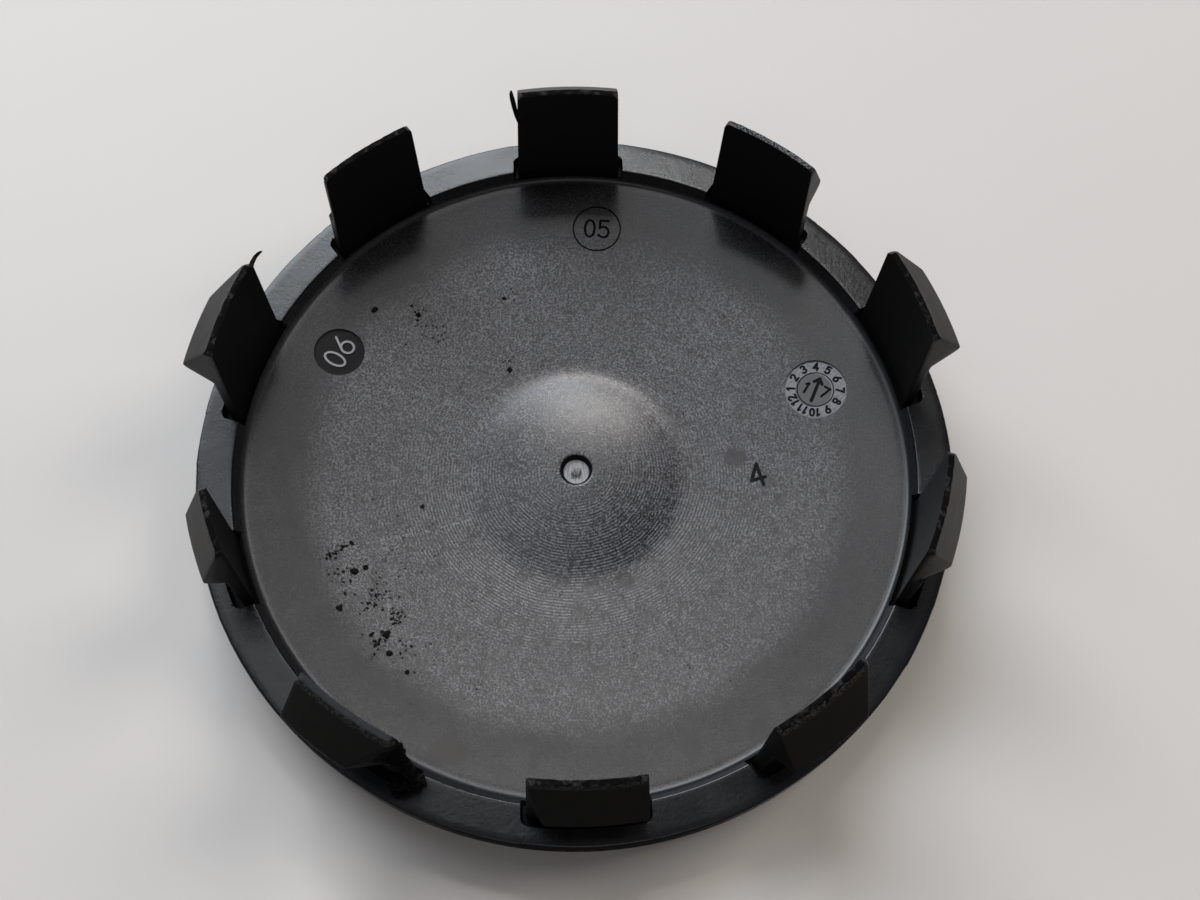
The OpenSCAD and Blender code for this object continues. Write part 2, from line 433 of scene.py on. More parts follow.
def makeClipFinish():
    f = clipFinish
    material, tree, spot, x, y, z, rho = newFinish("blackClips")
    nx, ny, nz = splitTerms(tree, addNode(tree, "ShaderNodeNewGeometry").outputs["True Normal"])
    outward = (x * nx + y * ny) / rho
    patch = cloud(tree, spot, 1.1, 4, 0.65)
    fine = cloud(tree, spot, 0.16, 3, 0.6)
    # drawn marks run up the clips
    drawn = addNode(tree, "ShaderNodeMapping", {"Vector": spot, "Scale": (4.0, 4.0, 0.5)})
    drawn = cloud(tree, drawn.outputs[0], 1.0, 3, 0.6)
    # painted sheen: faces that lean outwards and up, the lead-ins, get a patchy warmer, lighter colour for
    # the warm reflection they show
    leadInSheen = outward.between(0.25, 0.55) * nz.between(0.1, 0.3)
    colour = mixColour(tree, leadInSheen * (0.25 + patch * 0.5), f["black"], f["warm"])
    # the edges of the tip are torn and pale
    edge = nz.between(0.2, 0.45) * nz.between(0.93, 0.8) * (z - flangeZ).between(*f["tipEnds"])
    colour = mixColour(tree, edge * fine.between(0.46, 0.6) * 0.4, colour, f["pale"])
    worn = fine.between(0.7, 0.78) * 0.35
    colour = mixColour(tree, worn, colour, f["warm"])
    height = patch + fine * 0.4 + drawn * 0.8
    return finishWith(material, colour, 0.42 + patch * 0.16, height, f)


tipFinish = {
    "black": (0.003, 0.0028, 0.0028), "pale": (0.16, 0.16, 0.168), "grey": (0.035, 0.036, 0.04),
    "palePlace": (14.9, 20.5), "greyPlace": (-14.9, -20.5), "reach": (5.2, 4.2),
    "bump": 0.02, "specular": 0.04,
}


def makeTipFinish():
    # torn ends of the clips: pale on one clip, greyish on another, dark on the rest
    f = tipFinish
    material, tree, spot, x, y, *_ = newFinish("tornTips")
    fine = cloud(tree, spot, 0.14, 3, 0.7)
    patch = cloud(tree, spot, 0.5, 3, 0.6)
    pale = distanceTo(x, y, f["palePlace"]).between(*f["reach"]) * fine.between(0.44, 0.54)
    grey = distanceTo(x, y, f["greyPlace"]).between(*f["reach"])
    colour = mixColour(tree, patch.between(0.5, 0.7) * 0.15, f["black"], f["pale"])
    colour = mixColour(tree, grey * 0.8, colour, f["grey"])
    colour = mixColour(tree, pale * 0.85, colour, f["pale"])
    return finishWith(material, colour, 0.75, fine, f)


dialFinish = {"bandHighlight": (0.2, 0.2, 0.21), "core": (0.06, 0.059, 0.061), "bump": 0.01}


def makeDialFinish():
    f = dialFinish
    material, tree, spot, x, y, *_ = newFinish("brightDial")
    fine = cloud(tree, spot, 0.2, 3, 0.6)
    fromAxis, angle = marks["corePlace"][0], math.radians(marks["corePlace"][1])
    middle = (fromAxis * math.cos(angle), fromAxis * math.sin(angle))
    core = distanceTo(x, y, middle).between(marks["dialCoreR"] + 0.02, marks["dialCoreR"] - 0.04)
    # painted highlight: the band round the core gets a light colour for the bright reflection of its polished
    # face; the core stays darker
    colour = mixColour(tree, core, f["bandHighlight"], f["core"])
    colour = mixColour(tree, fine.between(0.45, 0.65) * 0.6, colour, f["core"])
    return finishWith(material, colour, 0.3 + fine * 0.15, fine, f)


sunkFinish = {
    "dark": (0.009, 0.0085, 0.009), "light": (0.016, 0.015, 0.016), "figureHighlight": (0.26, 0.255, 0.26),
    "bump": 0.01, "specular": 0.06,
}


def makeSunkFinish():
    f = sunkFinish
    material, tree, spot, *_ = newFinish("smoothSunkDisc")
    away = addNode(tree, "ShaderNodeVectorMath", {0: spot, 1: (0, 0, domeZ)}, operation="DISTANCE")
    depth = Term(tree, away.outputs["Value"]) - dishR
    fine = cloud(tree, spot, 0.3, 3, 0.6)
    colour = mixColour(tree, fine, f["dark"], f["light"])
    # painted highlight: the raised figure is coloured light for the light its raised, polished edges catch
    raised = depth.between(marks["discDepth"] - 0.02, marks["discDepth"] - 0.07)
    colour = mixColour(tree, raised, colour, f["figureHighlight"])
    return finishWith(material, colour, 0.3 + fine * 0.1, fine, f)


engravedFinish = {
    "dark": (0.0035, 0.0033, 0.0033), "light": (0.012, 0.0115, 0.0115), "bump": 0.008, "specular": 0.12,
}


def makeEngravedFinish():
    # the shaded walls of engraved lines, of the wells and of the gate mark
    f = engravedFinish
    material, tree, spot, *_ = newFinish("engravedLines")
    fine = cloud(tree, spot, 0.15, 3, 0.6)
    colour = mixColour(tree, fine.between(0.55, 0.7), f["dark"], f["light"])
    return finishWith(material, colour, 0.6, fine, f)


gateFinish = {"light": (0.3, 0.295, 0.295), "streak": (0.06, 0.058, 0.058), "half": 0.42, "bump": 0.05}


def makeGateFinish():
    # torn face of the gate mark, with streaks up its middle
    f = gateFinish
    material, tree, spot, x, y, *_ = newFinish("tornGate")
    drawn = addNode(tree, "ShaderNodeMapping", {"Vector": spot, "Scale": (9.0, 1.4, 1.0)})
    streak = cloud(tree, drawn.outputs[0], 1.0, 3, 0.7)
    middle = x.math("ABSOLUTE").between(f["half"], f["half"] - 0.1)
    middle = middle * y.between(-0.66, -0.5) * y.between(0.42, 0.25)
    mottle = streak.between(0.42, 0.6) * 0.45 + middle * (0.3 + streak.between(0.4, 0.55) * 0.7)
    colour = mixColour(tree, mottle.clamped(), f["light"], f["streak"])
    return finishWith(material, colour, 0.5, streak, f)


dirtFinish = {
    "dark": (0.004, 0.0033, 0.003), "brown": (0.034, 0.021, 0.015), "bump": 0.03, "specular": 0.12,
}


def makeDirtFinish():
    f = dirtFinish
    material, tree, spot, *_ = newFinish("roadDirt")
    lump = cloud(tree, spot, 0.35, 4, 0.7)
    colour = mixColour(tree, lump.between(0.58, 0.72) * 0.8, f["dark"], f["brown"])
    return finishWith(material, colour, 0.85, lump, f)


# marks on the floor: a date dial, an engraved ring, a sunk disc and a lone figure
# places are a radius and an angle, turns are degrees, figures are heights

marks = {
    "dialPlace": (19.6, 17.7), "dialTurn": -6, "dialR": 2.4, "dialCoreR": 1.4, "dialDepth": 0.12,
    "monthR": 1.9, "monthFigure": 0.58, "yearFigure": 0.85,
    "ringPlace": (20.7, 83.9), "ringTurn": -5, "ringFigure": 1.45,
    "discPlace": (20.7, 151.2), "discTurn": 62, "discFigure": 1.7, "discDepth": 0.14,
    "lonePlace": (13.7, -3.5), "loneTurn": 14, "loneFigure": 1.75,
    "roundR": 1.9, "lineDepth": 0.08, "raised": 0.08, "corePlace": (19.457, 17.7),
}
# half the width of each line
lineHalf = {
    "ringCut": 0.065, "ringFigure": 0.1, "loneFigure": 0.14, "sunkFigure": 0.085,
    "dialLine": 0.045, "dialMonths": 0.085, "dialYears": 0.095, "dialArrow": 0.13,
}
finishes = {
    "floor": makeFloorFinish(), "flange": makeFlangeFinish(), "clips": makeClipFinish(),
    "dial": makeDialFinish(), "sunk": makeSunkFinish(), "engraved": makeEngravedFinish(),
    "gate": makeGateFinish(), "tips": makeTipFinish(), "dirt": makeDirtFinish(),
}
print("finishes made")


def bow(cx, cy, rx, ry, start, end, steps=14):
    angles = np.radians(np.linspace(start, end, steps + 1))
    return [(cx + rx * math.cos(a), cy + ry * math.sin(a)) for a in angles]


# strokes of the figures, one unit high about their middle, none crossing itself
figureStrokes = {
    "0": [bow(0, 0, 0.27, 0.5, 90, 450, 20)],
    "1": [[(-0.16, 0.3), (0.06, 0.5), (0.06, -0.5)]],
    "2": [bow(0, 0.24, 0.27, 0.26, 165, -30, 10) + [(-0.28, -0.5), (0.3, -0.5)]],
    "3": [bow(-0.02, 0.25, 0.26, 0.25, 150, -80, 10), bow(-0.02, -0.22, 0.3, 0.28, 80, -150, 12)],
    "4": [[(0.14, -0.5), (0.14, 0.5)], [(0.14, 0.5), (-0.3, -0.18)], [(-0.3, -0.18), (0.32, -0.18)]],
    "5": [[(0.26, 0.5), (-0.2, 0.5), (-0.24, 0.04)], bow(-0.02, -0.18, 0.3, 0.32, 130, -145, 12)],
    "6": [[(0.18, 0.5), (-0.23, -0.04)], bow(0, -0.2, 0.28, 0.3, 150, 510, 18)],
    "7": [[(-0.28, 0.5), (0.28, 0.5), (-0.08, -0.5)]],
    "8": [bow(0, 0.25, 0.22, 0.25, -90, 270, 14), bow(0, -0.24, 0.29, 0.26, 90, 450, 16)],
    "9": [[(-0.18, -0.5), (0.23, 0.04)], bow(0, 0.2, 0.28, 0.3, -30, 330, 18)],
}


def figureLines(text, height, middle=(0, 0), turned=0.0):
    # strokes of a short number in millimetres, turned about its middle
    c, s = math.cos(turned), math.sin(turned)
    lines = []
    for i, sign in enumerate(text):
        shift = (i - (len(text) - 1) / 2) * 0.78
        for stroke in figureStrokes[sign]:
            spots = [((px + shift) * height, py * height) for px, py in stroke]
            lines.append([(middle[0] + qx * c - qy * s, middle[1] + qx * s + qy * c) for qx, qy in spots])
    return lines


def onFloor(place, turned=0.0):
    # stands a drawing on the floor at a radius and an angle, square to the dished surface
    angle = math.radians(place[1])
    lean = Matrix.Rotation(-math.asin(place[0] / dishR), 4, "Y")
    return (Matrix.Translation((0, 0, domeZ)) @ Matrix.Rotation(angle, 4, "Z") @ lean
            @ Matrix.Translation((0, 0, -dishR)) @ Matrix.Rotation(math.radians(turned) - angle, 4, "Z"))


def combine(name, body, steps):
    # joins each tool to the body or cuts it out, and leaves a plain mesh
    for kind, tool in steps:
        step = body.modifiers.new(tool.name, "BOOLEAN")
        step.operation, step.object, step.solver = kind, tool, "MANIFOLD"
    shaped = settle(name, body)
    for _, tool in steps:
        bpy.data.objects.remove(tool)
    return shaped


def joinSolids(name, solids):
    # one closed solid of several that overlap
    return combine(name, solids[0], [("UNION", tool) for tool in solids[1:]])


def strokeSolid(name, lines, place, low, high):
    # a block with round ends for every step of the lines
    reach = lineHalf[name]
    blocks = []
    for line in lines:
        for (x0, y0), (x1, y1) in zip(line, line[1:]):
            turn = math.atan2(y1 - y0, x1 - x0)
            ends = [(x1, y1, turn + math.radians(a)) for a in range(-90, 91, 30)]
            ends += [(x0, y0, turn + math.radians(a)) for a in range(90, 271, 30)]
            outline = [(x + reach * math.cos(a), y + reach * math.sin(a)) for x, y, a in ends]
            n = len(outline)
            faces = [tuple(range(n, 2 * n)), tuple(reversed(range(n)))]
            faces += [(i, (i + 1) % n, (i + 1) % n + n, i + n) for i in range(n)]
            mesh = newMesh(name, [(*spot, level) for level in (low, high) for spot in outline], faces)
            mesh.transform(Matrix.Scale(mm, 4) @ place)
            blocks.append(addObject(name, mesh))
    return joinSolids(name, blocks)


def drum(name, radius, place, low, high, sides=96):
    mesh = bpy.data.meshes.new(name)
    reshape(mesh, lambda work: bmesh.ops.create_cone(
        work, cap_ends=True, segments=sides, radius1=radius, radius2=radius, depth=high - low))
    mesh.transform(Matrix.Scale(mm, 4) @ place @ Matrix.Translation((0, 0, (high + low) / 2)))
    return addObject(name, mesh)


def washer(name, radius, place, low, high, sides=96):
    # a flat ring that cuts a round line
    inner, outer = radius - lineHalf[name], radius + lineHalf[name]
    rows = [(inner, low), (outer, low), (outer, high), (inner, high)]
    verts = []
    for i in range(sides):
        c, s = math.cos(i * 2 * math.pi / sides), math.sin(i * 2 * math.pi / sides)
        verts += [(r * c, r * s, h) for r, h in rows]
    faces = []
    for i in range(sides):
        a, b = i * 4, (i + 1) % sides * 4
        faces += [(a + j, b + j, b + (j + 1) % 4, a + (j + 1) % 4) for j in range(4)]
    mesh = newMesh(name, verts, faces)
    turnOutwards(mesh)
    mesh.transform(Matrix.Scale(mm, 4) @ place)
    return addObject(name, mesh)


def dialCutter():
    # months round the dial, clockwise, and the turning core with its line, arrow and two figures
    m = marks
    place = onFloor(m["dialPlace"], m["dialTurn"])
    ground = -m["dialDepth"]
    low = ground - m["lineDepth"]
    months = []
    for month in range(1, 13):
        angle = math.radians(180 - (month - 1) * 30)
        spot = (m["monthR"] * math.cos(angle), m["monthR"] * math.sin(angle))
        months += figureLines(str(month), m["monthFigure"], spot, angle - math.pi / 2)
    years = figureLines("1", m["yearFigure"], (-0.72, 0.15), -0.5)
    years += figureLines("7", m["yearFigure"], (0.72, -0.22), -0.5)
    arrow = [[(-0.3, -0.95), (0.3, 0.8)], [(-0.1, 0.66), (0.33, 0.9), (0.5, 0.44)]]
    return joinSolids("dialCut", [
        drum("dialGround", m["dialR"], place, ground, 1),
        washer("dialLine", m["dialCoreR"], place, low, 1),
        strokeSolid("dialMonths", months, place, low, 1),
        strokeSolid("dialYears", years, place, low, 1),
        strokeSolid("dialArrow", arrow, place, low, 1)])


def floorCutters():
    m = marks
    ringAt = onFloor(m["ringPlace"], m["ringTurn"])
    loneAt = onFloor(m["lonePlace"], m["loneTurn"])
    low = -m["lineDepth"]
    return [drum("discCut", m["roundR"] + 0.05, onFloor(m["discPlace"]), -m["discDepth"], 1),
            washer("ringCut", m["roundR"], ringAt, low, 1),
            strokeSolid("ringFigure", figureLines("05", m["ringFigure"]), ringAt, low, 1),
            strokeSolid("loneFigure", figureLines("4", m["loneFigure"]), loneAt, low, 1),
            dialCutter()]


def sunkFigure():
    # the raised number in the sunk disc
    place = onFloor(marks["discPlace"], marks["discTurn"])
    low = -marks["discDepth"]
    lines = figureLines("06", marks["discFigure"])
    return strokeSolid("sunkFigure", lines, place, low - 0.2, low + marks["raised"])


# disc with its low boss, pocket, flange, wells, rim and domed front

disc = {
    "bossR": 8.1, "bossHeight": 0.3, "bossPower": 2.5, "bossBlend": 0.1,
    "gateR": 1.2, "gateFloorR": 0.97, "gateDepth": 0.44, "nubR": 0.38, "nubHeight": 0.08,
    "edgeSoft": 0.13, "rimSoft": 0.2, "frontEdge": 0.55, "seatR": 25.6, "seatDepth": 0.45, "frontStep": 0.25,
    "wellW": 0.55, "wellDepth": 0.95, "wellGap": 0.32, "wellCorner": 0.45,
    # beyond this radius the stations run straight out near the clips, easing off between these distances
    "straightR": 25.0, "straightEnds": (5.2, 7.6), "ragged": 0.02, "seed": 4,
}


def arcRows(cx, cz, radius, start, end, steps):
    return bow(cx, cz, radius, radius, start, end, steps)


def bossOrFloor(r):
    # the boss rises over the floor and melts into it at its edge
    d = disc
    boss = floorHeight(d["bossR"]) + d["bossHeight"] * (1 - (r / d["bossR"]) ** d["bossPower"])
    blend = max(d["bossBlend"] - abs(boss - floorHeight(r)), 0) / d["bossBlend"]
    return max(boss, floorHeight(r)) + blend ** 2 * d["bossBlend"] / 4


def gateRows():
    d = disc
    bottom = bossOrFloor(0) - d["gateDepth"]
    nub, foot, mouth = d["nubR"], d["gateFloorR"], d["gateR"]
    rows = [(r, bottom + d["nubHeight"]) for r in (0.15, nub - 0.06)]
    rows += [(nub, bottom + d["nubHeight"] * 0.5), (nub + 0.05, bottom), (0.7, bottom), (foot - 0.07, bottom)]
    rows += [(foot, bottom + 0.03), ((foot + mouth) / 2, bottom + d["gateDepth"] * 0.5)]
    return rows + [(mouth - 0.03, bottom + d["gateDepth"] - 0.05), (mouth + 0.03, bossOrFloor(mouth) - 0.004)]


def frontRows():
    # from the rim's front edge in over the seat's step to the dome
    d = disc
    seatR = d["seatR"]
    seat = frontHeight(seatR)
    ringIn = seat - d["seatDepth"]
    ringOut = ringIn + d["frontStep"]
    rows = arcRows(cap["rimR"] - d["frontEdge"], ringOut + d["frontEdge"], d["frontEdge"], 0, -84, 7)
    rows += [(26.6, ringIn + 0.13)] + arcRows(seatR + 0.1, ringIn + 0.1, 0.1, -90, -180, 4)
    rows += [(seatR, seat - 0.06), (seatR - 0.06, seat)]
    return rows + [(r, frontHeight(r)) for r in (25.2, 24, 21, 17, 13, 9, 5, 1.5)]


def discRows():
    d = disc
    rows = gateRows()
    spots = (1.35, 1.7, 2.3, 3, 3.8, 4.6, 5.4, 6.1, 6.7, 7.1, 7.5, 7.8, 8.1, 8.4, 8.8, 9.3, 10, 11.5,
             13.5, 15.5, 17.5, 19.5, 21.5, 22.8, 23.6, 24.1, 24.4)
    rows += [(r, bossOrFloor(r)) for r in spots]
    rows += arcRows(floorEdgeR, floorEdgeZ + cap["floorFillet"], cap["floorFillet"], -84, -14, 8)
    rows += arcRows(pocketR + d["edgeSoft"] - 0.03, flangeZ - d["edgeSoft"], d["edgeSoft"], 172, 90, 5)
    steps = (0.3, 0.55, 0.75, 0.9, 1.02, 1.12, 1.18, 1.23, 1.27, 1.31, 1.34, 1.37, 1.4, 1.45, 1.6, 2.0)
    rows += [(pocketR + step, flangeZ) for step in steps]
    rows += arcRows(cap["rimR"] - d["rimSoft"], flangeZ - d["rimSoft"], d["rimSoft"], 90, 0, 4)
    return rows + [(cap["rimR"], 3.6)] + frontRows()


def sectorStations(half):
    # distances from a clip's middle along the tangent, close together at the ends of its well
    side = half + disc["wellGap"]
    steps = list(np.linspace(0, side - 0.62, 5))
    steps += list(np.arange(side - 0.5, side - 0.08, 0.11)) + list(np.arange(side - 0.07, side + 0.14, 0.035))
    steps += [side + 0.2, side + 0.45] + list(np.linspace(side + 1.0, disc["straightEnds"][1], 4))
    return [-s for s in reversed(steps[1:])] + steps


def wellDrop(r, t, half):
    # depth of the well at a radius and a distance along the tangent
    d = disc
    corner = d["wellCorner"]
    qx = np.abs(t) - (half + d["wellGap"] - corner)
    qy = np.full(len(t), r - (pocketR + cap["stemT"] + d["wellW"] - corner))
    away = np.hypot(np.maximum(qx, 0), np.maximum(qy, 0)) + np.minimum(np.maximum(qx, qy), 0) - corner
    return d["wellDepth"] * (1 - ease(-0.05, 0.07, away))


def buildDisc():
    # one station midway to the next clip closes each clip's share of the turn
    midway = -pocketR * math.sin(math.pi / cap["clips"])
    table = []
    for k in range(cap["clips"]):
        stations = list(reversed(sectorStations(clipHalf(k)))) + [midway]
        table += [(clipAngle(k), t, clipHalf(k)) for t in stations]
    middle, t, half = np.array(table).T
    even = np.arcsin(t / pocketR)
    hold = 1 - ease(*disc["straightEnds"], np.abs(t))
    rng = np.random.default_rng(disc["seed"])
    ragged = np.interp(np.arange(len(t)), np.arange(0, len(t), 2), rng.normal(0, disc["ragged"], len(t) // 2))
    points = []
    for r, z in discRows():
        # near the clips the stations run straight out, so that the wells' ends are straight
        bent = np.arcsin(t / max(r, disc["straightR"]))
        angle = middle + even + (bent - even) * hold * (r > disc["straightR"])
        height = np.full(len(t), z)
        if pocketR - 0.05 < r < cap["rimR"] - 0.6 and z > flangeZ - 0.2:
            height = height - wellDrop(r, t, half)
        onRim = cap["rimR"] - 0.25 < r < cap["rimR"] - 0.001 and z > floorEdgeZ
        radius = r + ragged * onRim
        points.append(np.stack([radius * np.cos(angle), radius * np.sin(angle), height], -1) * mm)
    return meshFromRings("capBody", np.array(points))


capBody = buildDisc()
print("disc turned:", len(capBody.data.vertices), "points")


# ring of clips, grown from one seat for each clip

clipSizes = {
    "Foot Depth": 1.25, "Height": 10.05, "Flange Height": flangeZ, "Pocket Radius": pocketR, "Lean": 0.26,
    "Tip Thickness": 0.42, "Stem Thickness": cap["stemT"], "Catch Slope": 42.0, "Nose Rounding": 1.1,
    "Foot Rounding": 0.3, "Cut Start": 4.4, "Tip Chamfer": 0.35, "Burr": 0.09, "Finish": finishes["clips"],
}
hooks = {
    "long": (2.6, 7.0), "short": (2.0, 5.9), "tipHalf": 3.75, "narrowTipHalf": 2.5,
    "light": 1.1, "medium": 1.7, "deep": 2.3, "edgeSoft": 0.07, "softOver": 42,
    # the hook ends that are cut across: plus is the anticlockwise end
    "cutPlus": {2: "light", 4: "medium", 6: "deep", 9: "deep"},
    "cutMinus": {3: "light", 5: "light", 8: "deep"},
}
seatKeys = ("angle", "halfRoot", "halfTip", "reach", "noseHeight", "cutPlus", "cutMinus")


def clipSeats():
    rows = []
    for k in range(cap["clips"]):
        tipHalf = hooks["narrowTipHalf" if k == cap["narrowClip"] else "tipHalf"]
        cuts = [hooks.get(hooks[end].get(k), 0.0) for end in ("cutPlus", "cutMinus")]
        rows.append((clipAngle(k), clipHalf(k), tipHalf, *hooks["short" if k % 2 else "long"], *cuts))
    places = [(k, 0, 0) for k in range(cap["clips"])]
    return seatPoints("clipSeats", places, dict(zip(seatKeys, zip(*rows))))


def spreadBlocks(tree, start):
    # a gridded block at each seat, keeping the place of its points as an attribute
    grid = {"Size": (1, 1, 1), "Vertices X": 4, "Vertices Y": 26, "Vertices Z": 42}
    block = addNode(tree, "GeometryNodeMeshCube", grid).outputs["Mesh"]
    place = addNode(tree, "GeometryNodeInputPosition").outputs[0]
    unit = {"Geometry": block, "Name": "unit", "Value": place}
    keep = addNode(tree, "GeometryNodeStoreNamedAttribute", unit, data_type="FLOAT_VECTOR", domain="POINT")
    seats = {"Points": start.outputs["Geometry"], "Instance": keep.outputs[0]}
    spread = addNode(tree, "GeometryNodeInstanceOnPoints", seats).outputs[0]
    return addNode(tree, "GeometryNodeRealizeInstances", {0: spread}).outputs[0]


def clipTree():
    tree, start, end = newTree("clipRing", clipSizes)
    blocks = spreadBlocks(tree, start)

    def size(label):
        return Term(tree, start.outputs[label])

    ux, uy, uz = splitTerms(tree, keptTerm(tree, "unit", "FLOAT_VECTOR"))
    angle, halfRoot, halfTip, reach, nose, cutPlus, cutMinus = [keptTerm(tree, key) for key in seatKeys]
    depth, level = ux + 0.5, uz + 0.5
    pocket, top = size("Pocket Radius"), size("Height")
    stem = pocket + size("Stem Thickness")
    tipOut = pocket - size("Lean") + size("Tip Thickness")
    # the corner that the rounded nose sits in, and the foot of the catch below it
    noseR = pocket + reach + size("Nose Rounding") / 6
    catch = (size("Catch Slope") * (math.pi / 180)).math("TANGENT")
    catchFoot = nose - (noseR - stem) * catch
    # levels: few up the stem, many round the nose, some up the lead-in
    stemShare, noseShare, leadShare = 0.22, 0.54, 0.24
    foot = size("Foot Depth") * -1
    low, high = catchFoot - 0.5, nose + 1.3
    z = (foot + (low - foot) * (level / stemShare).clamped()
         + (high - low) * ((level - stemShare) / noseShare).clamped()
         + (top - high) * ((level - (1 - leadShare)) / leadShare).clamped())
    lead = tipOut + (top - z) * (noseR - tipOut) / (top - nose)
    under = stem + (z - catchFoot) / catch
    outer = lead.math("SMOOTH_MIN", under, size("Nose Rounding"))
    outer = outer.math("SMOOTH_MAX", stem, size("Foot Rounding")).math("MINIMUM", lead)
    risen = (z / top).clamped()
    inner = pocket - size("Lean") * risen + 0.002
    middle = tipOut.math("MINIMUM", (inner + outer) * 0.5)
    isInner = depth.math("LESS_THAN", 0.2)
    beyond = middle + (outer - middle) * ((depth - 1 / 3) * 1.5).clamped()
    r = inner * isInner + beyond * (1 - isInner)
    # ends: tapered, cut across above the catch, chamfered at the tip
    half = halfRoot + (halfTip - halfRoot) * risen
    share = ((r - tipOut) / (pocket + reach - tipOut)).math("MAXIMUM", 0.0)
    share = share * ((z - size("Cut Start")) * 12).clamped()
    corner = (z - top + size("Tip Chamfer")).math("MAXIMUM", 0.0)
    isPlus = uy.math("GREATER_THAN", 0.0)
    end1, end2 = [half - cut * share - corner for cut in (cutPlus, cutMinus)]
    across = uy * 2 * (end1 * isPlus + end2 * (1 - isPlus))
    # torn edge along the tip
    torn = addNode(tree, "ShaderNodeTexNoise", {"Scale": 2.6, "Detail": 4.0, "Roughness": 0.7})
    plug(tree, torn.inputs["Vector"], joinTerms(tree, across + angle * 40, r, z))
    tear = (Term(tree, torn.outputs[0]) - 0.5) * size("Burr") * 2
    tear = tear * ((z - top + 0.3) * 3.3).clamped()
    ahead = (r * r - across * across).math("SQRT") + tear
    cos, sin = angle.math("COSINE"), angle.math("SINE")
    place = joinTerms(tree, (ahead * cos - across * sin) * mm, (ahead * sin + across * cos) * mm,
                      (z + size("Flange Height") - tear.math("ABSOLUTE")) * mm)
    shape = addNode(tree, "GeometryNodeSetPosition", {"Geometry": blocks, "Position": place})
    return closeTree(tree, start, end, shape.outputs[0])


def growClips():
    ring = growTree("clipRing", clipSeats(), clipTree(), clipSizes)
    dropAttributes(ring.data, (*seatKeys, "unit"))
    turnOutwards(ring.data)
    soften = ring.modifiers.new("soften", "BEVEL")
    soften.width = hooks["edgeSoft"] * mm
    soften.segments = 2
    soften.angle_limit = math.radians(hooks["softOver"])
    return settle("clipRing", ring)


# slivers of flash: path, width along it, the direction of the width, and how thick they are
slivers = {
    "sideFlash": ([(-3.72, 25.0, 11.4), (-3.92, 25.1, 12.4), (-4.08, 25.2, 13.5),
                   (-4.2, 25.25, 14.4), (-4.24, 25.3, 14.8)],
                  (0.3, 0.5, 0.6, 0.5, 0.3), (0.3, 1, 0)),
    "cornerFlash": ([(-22.6, 10.9, 14.5), (-22.42, 11.35, 14.68), (-22.22, 11.7, 14.78),
                     (-21.98, 11.95, 14.84), (-21.8, 12.06, 14.86)],
                    (0.36, 0.3, 0.26, 0.22, 0.12), (0.95, -0.31, 0)),
}
flashT = 0.11


def addSliver(name, path, widths, wide):
    # a thin closed strip of flash along a path
    path = [Vector(spot) for spot in path]
    wide = Vector(wide).normalized()
    verts = []
    for i, (spot, width) in enumerate(zip(path, widths)):
        along = path[min(i + 1, len(path) - 1)] - path[max(i - 1, 0)]
        side = wide.cross(along).normalized() * (flashT / 2)
        half = wide * width / 2
        verts += [(spot + half * a + side * b) * mm for a, b in ((1, 1), (-1, 1), (-1, -1), (1, -1))]
    faces = [(0, 1, 2, 3), tuple(range(len(verts) - 4, len(verts)))]
    for i in range(0, len(verts) - 4, 4):
        faces += [(i + j, i + (j + 1) % 4, i + (j + 1) % 4 + 4, i + j + 4) for j in range(4)]
    mesh = newMesh(name, verts, faces)
    turnOutwards(mesh)
    return addObject(name, mesh)


# lumps of grime along the end of one clip, down to its foot and into the well
grime = {
    "path": [(-11.95, -22.6, 12.3), (-11.8, -22.6, 11.6), (-12.2, -22.95, 11.5), (-11.75, -22.65, 10.8),
             (-11.9, -22.9, 10.0), (-11.75, -22.75, 9.0), (-11.7, -22.95, 8.2), (-11.85, -23.0, 7.4),
             (-11.75, -23.15, 6.6), (-11.8, -23.3, 5.8), (-12.1, -23.6, 5.2), (-12.6, -23.9, 5.1),
             (-12.5, -23.7, 6.0), (-11.4, -23.3, 5.0), (-12.3, -23.5, 6.8), (-11.2, -23.5, 4.9),
             (-12.6, -23.8, 7.6)],
    "stainReach": 1.0, "parts": (0.0, 0.35, 0.7), "scatter": 0.1, "seed": 11,
}


def finishByPlace(mesh):
    # gives every face the finish of the place it lies in
    order = list(finishes)
    mesh.materials.clear()
    for material in finishes.values():
        mesh.materials.append(material)
    middle = Vector((0, 0, domeZ))
    dialMiddle, discMiddle = [onFloor(marks[key]).translation for key in ("dialPlace", "discPlace")]
    grimy = [Vector(place) for place in grime["path"]]
    for face in mesh.polygons:
        spot = face.center / mm
        r = math.hypot(spot.x, spot.y)
        depth = (spot - middle).length - dishR
        if spot.z > flangeZ + 0.03:
            isTip = spot.z > flangeZ + clipFinish["tipEnds"][0] and face.normal.z > 0.75
            finish = "tips" if isTip else "clips"
            if min((spot - place).length for place in grimy) < grime["stainReach"]:
                finish = "dirt"
        elif pocketR - 0.1 < r < 27.2 and flangeZ - 1.2 < spot.z < flangeZ - 0.06:
            finish = "engraved"
        elif r > pocketR - 0.02 or face.normal.z < -0.4:
            finish = "flange"
        elif r < disc["gateR"] + 0.02:
            finish = "gate" if r < disc["gateFloorR"] - 0.03 else "engraved"
        elif depth > marks["dialDepth"] - 0.03 and (spot - dialMiddle).length < marks["dialR"] + 0.05:
            finish = "engraved" if depth > marks["dialDepth"] + 0.025 else "dial"
        elif depth > 0.02 and (spot - discMiddle).length < marks["roundR"] + 0.08:
            finish = "sunk"
        else:
            finish = "engraved" if depth > 0.015 and r > disc["bossR"] + 1 else "floor"
        face.material_index = order.index(finish)
        face.use_smooth = finish not in ("dial", "sunk")


